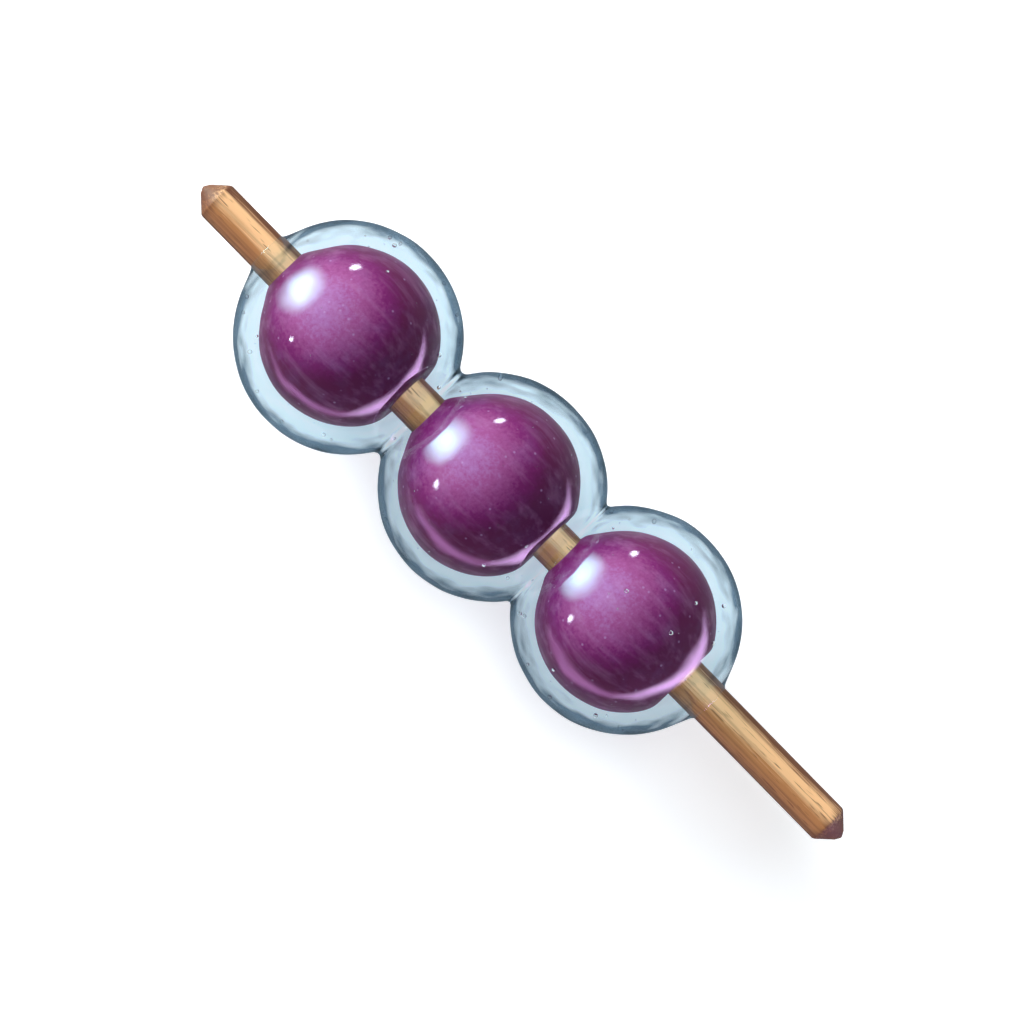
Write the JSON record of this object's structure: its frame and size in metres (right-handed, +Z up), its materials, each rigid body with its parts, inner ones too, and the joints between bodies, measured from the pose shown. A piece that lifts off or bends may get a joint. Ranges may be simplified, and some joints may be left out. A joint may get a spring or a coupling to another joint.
{
  "type": "candied grape skewer",
  "caption": "Whole purple grapes threaded on a round wooden skewer and sealed together in one thick, clear shell of hard sugar.",
  "frame": {"origin": "middle of the bounding box at its bottom, on the surface that the skewer lies on", "axes": "+X along the skewer from its tip to its handle end, +Z up from the surface it lies on"},
  "size_m": [0.12, 0.0308, 0.0303],
  "materials": {
    "birch_wood": "turned and left bare",
    "grape_skin": "smooth fruit skin under the sugar",
    "clear_sugar": "glassy boiled sugar, clear with a pale blue cast"
  },
  "bodies": {
    "root": {"skewer": "birch_wood", "grape_tip": "grape_skin", "grape_middle": "grape_skin", "grape_handle": "grape_skin", "sugar_shell": "clear_sugar"}
  },
  "joints": []
}
